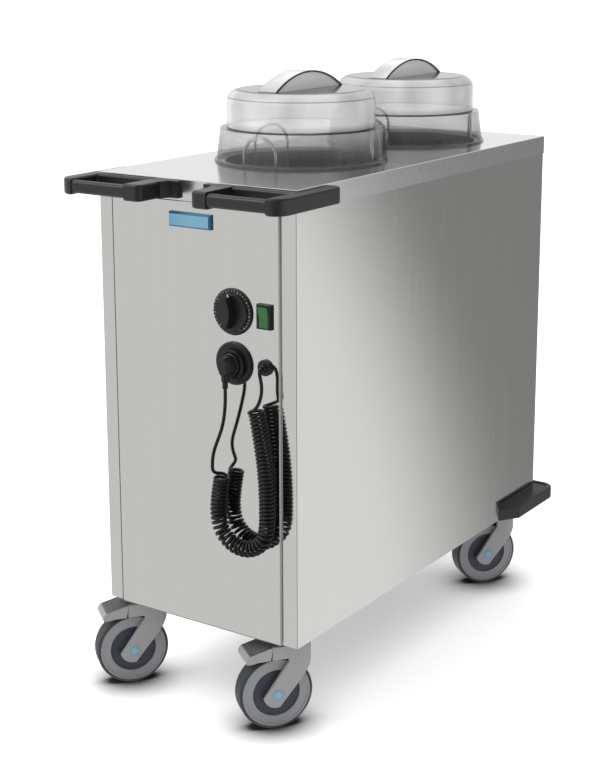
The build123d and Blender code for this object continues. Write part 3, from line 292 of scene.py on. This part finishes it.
# ---------------------------------------------------------------- materials
class Look:
    """A material's node tree with one Principled shader."""

    def __init__(self, name, colour, rough, metal=0.0, **constants):
        self.material = bpy.data.materials.new(name)
        self.material.use_nodes = True
        self.tree = self.material.node_tree
        self.shader = self.tree.nodes["Principled BSDF"]
        self.set("Base Color", (*colour, 1.0))
        self.set("Roughness", rough)
        self.set("Metallic", metal)
        for key, value in constants.items():
            self.set(key.replace("_", " "), value)

    def set(self, socket, value):
        self.shader.inputs[socket].default_value = value

    def add(self, kind, **values):
        node = self.tree.nodes.new(kind)
        for key, value in values.items():
            setattr(node, key, value)
        return node

    def link(self, source, target):
        self.tree.links.new(source, target)

    def place(self, scale=(1, 1, 1)):
        """Object coordinates, which are the row frame's here, scaled."""
        coords = self.add("ShaderNodeTexCoord")
        mapping = self.add("ShaderNodeMapping")
        mapping.inputs["Scale"].default_value = scale
        self.link(coords.outputs["Object"], mapping.inputs["Vector"])
        return mapping.outputs["Vector"]

    def noise(self, scale, detail=3.0, size=1.0):
        texture = self.add("ShaderNodeTexNoise")
        texture.inputs["Scale"].default_value = size
        texture.inputs["Detail"].default_value = detail
        self.link(self.place(scale), texture.inputs["Vector"])
        return texture.outputs["Fac"]

    def ramp(self, factor, *stops):
        """Colour ramp from a factor; each stop is a place and a colour."""
        node = self.add("ShaderNodeValToRGB")
        elements = node.color_ramp.elements
        while len(elements) < len(stops):
            elements.new(0.5)
        for element, (place, colour) in zip(elements, stops):
            element.position = place
            element.color = (*colour, 1.0)
        self.link(factor, node.inputs["Fac"])
        return node.outputs["Color"]

    def spread(self, factor, low, high, start=0.0, end=1.0):
        """From low to high while the factor goes from start to end."""
        node = self.add("ShaderNodeMapRange")
        for key, value in (("From Min", start), ("From Max", end), ("To Min", low), ("To Max", high)):
            node.inputs[key].default_value = value
        self.link(factor, node.inputs["Value"])
        return node.outputs["Result"]

    def math(self, operation, *values):
        node = self.add("ShaderNodeMath", operation=operation)
        for socket, value in zip(node.inputs, values):
            if isinstance(value, (int, float)):
                socket.default_value = value
            else:
                self.link(value, socket)
        return node.outputs["Value"]

    def rough_by(self, factor, low, high):
        self.link(self.spread(factor, low, high, 0.3, 0.7), self.shader.inputs["Roughness"])

    def bump(self, height, strength, distance):
        node = self.add("ShaderNodeBump")
        node.inputs["Strength"].default_value = strength
        node.inputs["Distance"].default_value = distance
        self.link(height, node.inputs["Height"])
        self.link(node.outputs["Normal"], self.shader.inputs["Normal"])

    def wear(self, *names):
        """Give this look alone to CAD nodes by name, or to objects."""
        for name in names:
            mesh = nodes[name].data if isinstance(name, str) else name.data
            mesh.materials.clear()
            mesh.materials.append(self.material)
        return self


def grey(value, warm=0.0):
    return (value + warm, value, value - warm)


def tinted(value, warm):
    return (value, value * (1 + warm / 8), value * (1 - warm))


def steel(name, value, low, high, streak, warm=0.0, depth=0.04):
    """Satin sheet with fine streaks along one direction."""
    look = Look(name, grey(value, warm), (low + high) / 2, 1.0)
    fine = look.noise(streak)
    look.link(look.ramp(fine, (0.3, tinted(value - depth, warm)), (0.7, tinted(value + depth, warm))),
              look.shader.inputs["Base Color"])
    look.rough_by(fine, low, high)
    return look


def painted_fold_shade(look, axis, start, width, share):
    """Painted shade: a dark line in a sheet's colour at its fold, from a place along an axis, over a
    width.
    """
    split = look.add("ShaderNodeSeparateXYZ")
    look.link(look.place(), split.inputs["Vector"])
    level = look.spread(split.outputs[axis], share, 1.0, start + width * 0.7, start + width * 1.3)
    tone = look.add("ShaderNodeVectorMath", operation="SCALE")
    look.link(look.shader.inputs["Base Color"].links[0].from_socket, tone.inputs[0])
    look.link(level, tone.inputs["Scale"])
    look.link(tone.outputs["Vector"], look.shader.inputs["Base Color"])


def black_plastic(name, value, low, high):
    """Moulded plastic with a fine grain."""
    look = Look(name, grey(value), (low + high) / 2)
    fine = look.noise((900.0, 900.0, 900.0), 2.0)
    look.rough_by(fine, low, high)
    look.bump(fine, 0.25, 0.00004)
    return look


def turned_look(name, centre, rough, *rings):
    """Colours by distance from a castor's axle, in tenths of a metre."""
    look = Look(name, rings[0][1], rough)
    coords = look.add("ShaderNodeTexCoord")
    shift = look.add("ShaderNodeVectorMath", operation="SUBTRACT")
    look.link(coords.outputs["Object"], shift.inputs[0])
    shift.inputs[1].default_value = centre
    across = look.add("ShaderNodeVectorMath", operation="DOT_PRODUCT")
    look.link(shift.outputs["Vector"], across.inputs[0])
    across.inputs[1].default_value = AXLE
    length = look.add("ShaderNodeVectorMath", operation="LENGTH")
    look.link(shift.outputs["Vector"], length.inputs[0])
    squares = look.math("SUBTRACT", look.math("POWER", length.outputs["Value"], 2.0),
                        look.math("POWER", across.outputs["Value"], 2.0))
    radius = look.math("MULTIPLY", look.math("SQRT", squares), 10.0)
    look.link(look.ramp(radius, *rings), look.shader.inputs["Base Color"])
    return look, radius


def wheel_look(name, centre):
    """Grey ring with fine concentric lines round a dark disc."""
    hub, disc, edge = (0.035, 0.038, 0.050), (0.026, 0.029, 0.046), (0.05, 0.054, 0.065)
    look, radius = turned_look(name, centre, 0.42, (0.0, hub), (0.20, hub), (0.21, disc),
                               (0.388, disc), (0.396, edge), (0.404, RING_GREY))
    wave = look.math("SINE", look.math("MULTIPLY", radius, 2 * pi * 45))
    look.bump(wave, 0.35, 0.0002)
    return look


def tyre_look(name, centre):
    """Charcoal tread; the tyre's flat flank carries on the grey of the ring."""
    return turned_look(name, centre, 0.6, (0.0, RING_GREY), (0.572, RING_GREY), (0.580, CHARCOAL))[0]


def cap_look(name, centre):
    """Pale blue cap with a darker ring of painted shade where a groove would be."""
    # painted shade: a darker blue ring stands for the groove's shade
    blue, groove_shade = (0.17, 0.30, 0.38), (0.06, 0.12, 0.16)
    return turned_look(name, centre, 0.35, (0.0, blue), (0.063, blue), (0.068, groove_shade), (0.073, groove_shade),
                       (0.078, blue))[0]


# A cover from its rim up: grey by height, which is painted shade and light (dark towards the well, thin
# dark lines at the steps, lighter higher up), and how much it hides.
COVER_FOOT = DECK_Z - 0.005
COVER_CROWN = DECK_Z + 0.155
COVER_PAINTED_SHADE = (
    (0.0, 0.04), (0.050, 0.04), (0.058, 0.14), (0.10, 0.08), (0.20, 0.14), (0.34, 0.36), (0.384, 0.36),
    (0.388, 0.01), (0.397, 0.01), (0.402, 0.36), (0.47, 0.68), (0.66, 0.62), (0.700, 0.60),
    (0.706, 0.22), (0.712, 0.22), (0.718, 0.56), (0.74, 0.54), (0.783, 0.54), (0.787, 0.06),
    (0.797, 0.06), (0.801, 0.62), (1.0, 0.70))
COVER_DENSE = (
    (0.0, 0.85), (0.050, 0.85), (0.07, 0.48), (0.20, 0.45), (0.34, 0.52), (0.384, 0.56), (0.388, 0.9),
    (0.397, 0.9), (0.402, 0.68), (0.783, 0.68), (0.787, 0.85), (0.797, 0.85), (0.801, 0.70),
    (1.0, 0.78))


def cover_look(name):
    """Smoky clear plastic with painted shade and light: dark towards the well, milky and lighter higher
    up, thin dark lines at the steps, darker where seen edge-on, and soft patches of painted reflection.
    """
    look = Look(name, grey(0.5), 0.12, IOR=1.45)
    split = look.add("ShaderNodeSeparateXYZ")
    look.link(look.place(), split.inputs["Vector"])
    height = look.spread(split.outputs["Z"], 0.0, 1.0, COVER_FOOT, COVER_CROWN)
    # painted shade and light: grey by height, from the dark well up to the lighter top, with dark lines
    # at the steps
    shade = look.ramp(height, *((at, grey(value)) for at, value in COVER_PAINTED_SHADE))
    dense = look.ramp(height, *((at, grey(value)) for at, value in COVER_DENSE))
    facing = look.add("ShaderNodeLayerWeight")
    facing.inputs["Blend"].default_value = 0.5
    # painted shade: darker where the skin is seen edge-on
    rim = look.spread(facing.outputs["Facing"], 1.0, 0.25, 0.80, 0.97)
    # painted reflection: soft lighter and darker patches, spread at random
    painted_reflection = look.spread(look.noise((13, 13, 9), 1.5), 0.66, 1.12, 0.34, 0.62)
    tone = look.add("ShaderNodeVectorMath", operation="SCALE")
    look.link(shade, tone.inputs[0])
    look.link(look.math("MULTIPLY", rim, painted_reflection), tone.inputs["Scale"])
    look.link(tone.outputs["Vector"], look.shader.inputs["Base Color"])
    edge = look.spread(facing.outputs["Facing"], 0.0, 0.35, 0.6, 1.0)
    look.link(look.math("MINIMUM", look.math("ADD", dense, edge), 1.0), look.shader.inputs["Alpha"])
    return look


def dress_cover(name):
    """Outer skin, a fainter inner skin and the grip's cut edges in near-black painted shade."""
    node = nodes["cover_" + name]
    middle = middle_of("cover_" + name)
    outer = cover_look("cover_smoke_painted_shade_" + name)
    inner = Look("cover_inner_" + name, grey(0.45), 0.15, Alpha=0.06)
    # painted shade: the grip's cut edges are near black
    cut = Look("cover_cut_painted_shade_" + name, grey(0.03), 0.3, Alpha=0.9)
    node.data.materials.clear()
    for look in (outer, inner, cut):
        node.data.materials.append(look.material)
    for face in node.data.polygons:
        if face.center.z > TOP_Z + 0.0005:
            face.material_index = 2 if abs(face.normal.x) > 0.9 else 0
        else:
            away = Vector((face.center.x - middle.x, face.center.y - middle.y, 0.0))
            outward = face.normal.dot(away.normalized()) > 0.2 or face.normal.z > 0.3
            face.material_index = 0 if outward else 1
    sides = grip_sides(name, middle)
    # painted light: the thin walls under the grip get a lighter grey than the cover's plastic
    web = Look("grip_side_painted_light_" + name, grey(0.78), 0.2, Alpha=0.72)
    web.wear(sides)
    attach(sides, "cover_" + name + "_body")


def grip_sides(name, middle):
    """The two thin half-moon walls under a grip's band."""
    build = bmesh.new()
    foot = TOP_Z - 0.0002
    rise = GRIP_RISE - GRIP_T / 2
    half = GRIP_HALF_L - 1.5 * GRIP_T
    radius = (half * half + rise * rise) / (2 * rise)
    steps = 36
    for side in (-1, 1):
        across = middle.x + side * (GRIP_W / 2 - WEB_T)
        rows = []
        for step in range(steps + 1):
            run = -half + 2 * half * step / steps
            top = foot + rise - radius + (radius * radius - run * run) ** 0.5
            low = build.verts.new((across, middle.y + run, foot))
            rows.append((low, build.verts.new((across, middle.y + run, max(top, foot + 0.00005)))))
        for (low_a, top_a), (low_b, top_b) in zip(rows, rows[1:]):
            build.faces.new((low_a, low_b, top_b, top_a) if side > 0 else (low_a, top_a, top_b, low_b))
    obj = mesh_object("grip_sides_" + name, build)
    thicken(obj, WEB_T, -1.0)
    return obj


def two_tone(node, chosen, rest, direction):
    """One look on the faces that turn one way, another on the others."""
    mesh = nodes[node].data
    mesh.materials.clear()
    mesh.materials.append(rest.material)
    mesh.materials.append(chosen.material)
    for face in mesh.polygons:
        face.material_index = int(face.normal.dot(Vector(direction)) > 0.9)


def round_fold(node, look):
    """A small radius along a folded sheet's sharp corners, in a darker copy of the steel: a painted
    dark reflection.
    """
    nodes[node].data.materials.append(look.material)
    fold = nodes[node].modifiers.new("fold", "BEVEL")
    fold.material = len(nodes[node].data.materials) - 1
    fold.width = FOLD_R
    fold.segments = 3
    fold.limit_method = "ANGLE"
    fold.angle_limit = radians(60)
    fold.harden_normals = True


# ---------------------------------------------------------------- looks of the pieces
def dress_body():
    steel("deck_steel", 0.64, 0.12, 0.20, (30, 700, 60), 0.01, 0.012).wear("deck")
    sheet = (0.635, 0.06, 0.10, (500, 500, 6), 0.03, 0.008)
    steel("panel_steel", *sheet).wear("side_panel_left", "side_panel_right", "rear_panel")
    front = steel("front_steel", *sheet)
    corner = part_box("front_panel")[0]
    # painted shade: dark lines along the front panel's left and bottom folds
    painted_fold_shade(front, "X", corner.x, 0.0018, 0.12)
    painted_fold_shade(front, "Z", corner.z, 0.0015, 0.45)
    # painted shade: the front panel's edge faces get a flat matte grey in place of its steel
    two_tone("front_panel", front, Look("panel_rim_painted_shade", (0.40, 0.40, 0.39), 0.5), (0, -1, 0))
    # painted reflection: the folds' radius gets a dark copy of the sheet steel
    edge = Look("fold_steel_painted_reflection", grey(0.17), 0.3, 1.0)
    for name in ("side_panel_left", "side_panel_right", "front_panel"):
        round_fold(name, edge)
    two_tone("badge_plate", Look("badge_face", (0.11, 0.26, 0.37), 0.35),
             Look("badge_edge", (0.012, 0.095, 0.19), 0.3), (0, -1, 0))


def dress_inside():
    steel("inner_steel", 0.30, 0.3, 0.42, (200, 200, 30)).wear(
        "base_frame", "corner_posts", "stack_tube_front", "stack_tube_rear", "platform_front",
        "platform_rear", "carriage_front", "carriage_rear", "springs_front", "springs_rear")
    Look("wire_chrome", (0.88, 0.88, 0.88), 0.16, 1.0).wear("plate_guides")
    Look("heater", (0.32, 0.28, 0.25), 0.4, 1.0).wear("heating_elements")
    Look("bakelite", (0.02, 0.017, 0.015), 0.45).wear("thermostat")


def dress_fittings(head):
    """Handles, bumpers, controls and the plug, whose head is a piece of the scene."""
    black_plastic("handle_black", 0.007, 0.32, 0.44).wear(
        "handle_corner_left", "handle_corner_right", "handle_bars", "handle_brackets")
    black_plastic("bumper_black", 0.011, 0.5, 0.62).wear("rear_bumper_left", "rear_bumper_right")
    fitting = black_plastic("fitting_black", 0.006, 0.32, 0.42)
    fitting.set("Specular IOR Level", 0.38)
    fitting.wear("dial_ring", "control_knob", "switch_frame", "parking_socket", "strain_relief",
                 "cable_gland", head)
    # painted light: a faint glow lifts the rocker's green; it is no lamp
    Look("rocker_green", (0.008, 0.075, 0.012), 0.25, Emission_Color=(0.03, 0.40, 0.06, 1.0),
         Emission_Strength=0.05).wear("rocker")


def dress_castors():
    Look("plate_zinc", (0.55, 0.56, 0.57), 0.35, 1.0).wear("castor_plates", "castor_screws")
    castor = black_plastic("castor_grey", 0.24, 0.36, 0.46)
    # painted shade: a darker grey on the upward faces of the front pedals
    tread = black_plastic("pedal_top_painted_shade", 0.07, 0.5, 0.6)
    for place in CASTORS:
        centre = middle_of("castor_axle_" + place)
        castor.wear("castor_fork_" + place)
        tyre_look("tyre_charcoal_" + place, centre).wear("tyre_" + place)
        cap_look("axle_blue_" + place, centre).wear("castor_axle_" + place)
        wheel_look("wheel_grey_" + place, centre).wear("wheel_core_" + place)
        if place.startswith("front"):
            two_tone("brake_pedal_" + place, tread, castor, (0, 0, 1))


def dress_cord(cable):
    rubber = black_plastic("cord_black", 0.004, 0.28, 0.4)
    rubber.set("Specular IOR Level", 0.32)
    rubber.wear(cable)


# ---------------------------------------------------------------- markings
def marks(name, body, strokes):
    """Thin white strokes turned to the front, each a place, a length, a width and an angle."""
    build = bmesh.new()
    for place, length, width, angle in strokes:
        along = Vector((sin(angle), 0, cos(angle))) * (length / 2)
        across = Vector((cos(angle), 0, -sin(angle))) * (width / 2)
        middle = KNOB + Vector(place)
        corners = [middle - along - across, middle - along + across, middle + along + across * 0.8,
                   middle + along - across * 0.8]
        build.faces.new([build.verts.new(corner) for corner in corners])
    obj = mesh_object(name, build)
    thicken(obj, MARK_T, 0.0)
    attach(obj, body)
    return obj


def scale_marks():
    strokes = []
    for index in range(DIAL_TICKS):
        angle = radians(DIAL_SWEEP * (index / (DIAL_TICKS - 1) - 0.5))
        length = 0.0038 if index % 4 == 0 else 0.0020
        out = TICK_R - length / 2
        strokes.append(((out * sin(angle), -DIAL_FACE, out * cos(angle)), length, 0.0005, angle))
    return marks("dial_marks", "cart", strokes)


def pointer_mark():
    angle = radians(POINTER_ANGLE)
    place = (POINTER_R * sin(angle), -KNOB_FACE, POINTER_R * cos(angle))
    return marks("knob_mark", "knob", [(place, 0.0042, 0.0022, angle)])


# ---------------------------------------------------------------- studio
def floor():
    """A white floor with a painted contact shadow: darker where something stands on it."""
    data = bpy.data.meshes.new("floor")
    reach = 12.0
    data.from_pydata([(-reach, -reach, 0), (reach, -reach, 0), (reach, reach, 0), (-reach, reach, 0)],
                     [], [(0, 1, 2, 3)])
    obj = new_object("floor", data)
    look = Look("floor_white", grey(1.0), 0.7, Specular_IOR_Level=0.0,
                Emission_Color=(1.0, 1.0, 1.0, 1.0))
    # painted shadow: an ambient occlusion node darkens the floor's colour and dims its glow near things
    # standing on it
    near = look.add("ShaderNodeAmbientOcclusion", samples=16)
    near.inputs["Distance"].default_value = 0.09
    open_sky = near.outputs["AO"]
    look.link(look.ramp(open_sky, (0.50, grey(0.03)), (0.97, grey(1.0))),
              look.shader.inputs["Base Color"])
    look.link(look.spread(open_sky, 0.0, 0.16, 0.50, 0.97), look.shader.inputs["Emission Strength"])
    look.wear(obj)
    obj.visible_glossy = False


def key_light(place, target, width, power):
    data = bpy.data.lights.new("key", "AREA")
    data.size = width
    data.energy = power
    obj = new_object("key", data)
    obj.location = place
    obj.rotation_euler = (Vector(target) - Vector(place)).to_track_quat("-Z", "Y").to_euler()
    obj.visible_camera = False


def surroundings():
    """White for the camera, soft light from the left, and light and dark walls for reflections."""
    world = bpy.data.worlds.new("studio")
    world.use_nodes = True
    scene.world = world
    tree = world.node_tree
    shade = tree.nodes["Background"]
    coords = tree.nodes.new("ShaderNodeTexCoord")
    path = tree.nodes.new("ShaderNodeLightPath")

    def feed(socket, value):
        if isinstance(value, float):
            socket.default_value = value
        else:
            tree.links.new(value, socket)

    def walls(direction, start, end, low, high):
        """From low to high while a ray turns towards a direction."""
        dot = tree.nodes.new("ShaderNodeVectorMath")
        dot.operation = "DOT_PRODUCT"
        tree.links.new(coords.outputs["Generated"], dot.inputs[0])
        dot.inputs[1].default_value = Vector(direction).normalized()
        span = tree.nodes.new("ShaderNodeMapRange")
        span.interpolation_type = "SMOOTHSTEP"
        for key, value in (("From Min", start), ("From Max", end), ("To Min", low), ("To Max", high)):
            span.inputs[key].default_value = value
        tree.links.new(dot.outputs["Value"], span.inputs["Value"])
        return span.outputs["Result"]

    def blend(kind, first, second):
        node = tree.nodes.new("ShaderNodeMath")
        node.operation = kind
        feed(node.inputs[0], first)
        feed(node.inputs[1], second)
        return node.outputs["Value"]

    def choose(ray, otherwise, value):
        """The value for one kind of ray, something else for the others."""
        mixed = tree.nodes.new("ShaderNodeMix")
        tree.links.new(path.outputs[ray], mixed.inputs["Factor"])
        feed(mixed.inputs["A"], otherwise)
        feed(mixed.inputs["B"], value)
        return mixed.outputs["Result"]

    dark = walls((-0.8729, -0.2851, 0.3960), -0.7931, -0.7313, 0.0, 0.71)
    right_side = walls((1.0, 0.0, -0.2), 0.0, 0.35, 0.0, 1.0)
    front_wall = walls((-0.5, -0.86, -0.1), 0.55, 0.95, 1.0, 0.82)
    sides = blend("SUBTRACT", 1.0, blend("MULTIPLY", dark, right_side))
    mirrored = blend("MULTIPLY", sides, front_wall)
    lit = walls((1.0, 0.1, -0.1), 0.2, 0.8, 1.45, 0.8)
    seen = choose("Is Camera Ray", choose("Is Diffuse Ray", mirrored, lit), WHITE)
    tree.links.new(seen, shade.inputs["Strength"])
    shade.inputs["Color"].default_value = (1.0, 1.0, 1.0, 1.0)


camera()
cable, head = cord()
dress_cord(cable)
dress_body()
dress_inside()
dress_fittings(head)
dress_castors()
for side in ("front", "rear"):
    dress_cover(side)
Look("scale_white", (0.5, 0.5, 0.5), 0.5).wear(scale_marks(), pointer_mark())
floor()
surroundings()
key_light((-1.6, -2.2, 3.2), (0.0, 0.0, 0.4), 1.6, 35.0)
scene.view_settings.view_transform = "Standard"
scene.cycles.transparent_max_bounces = 24
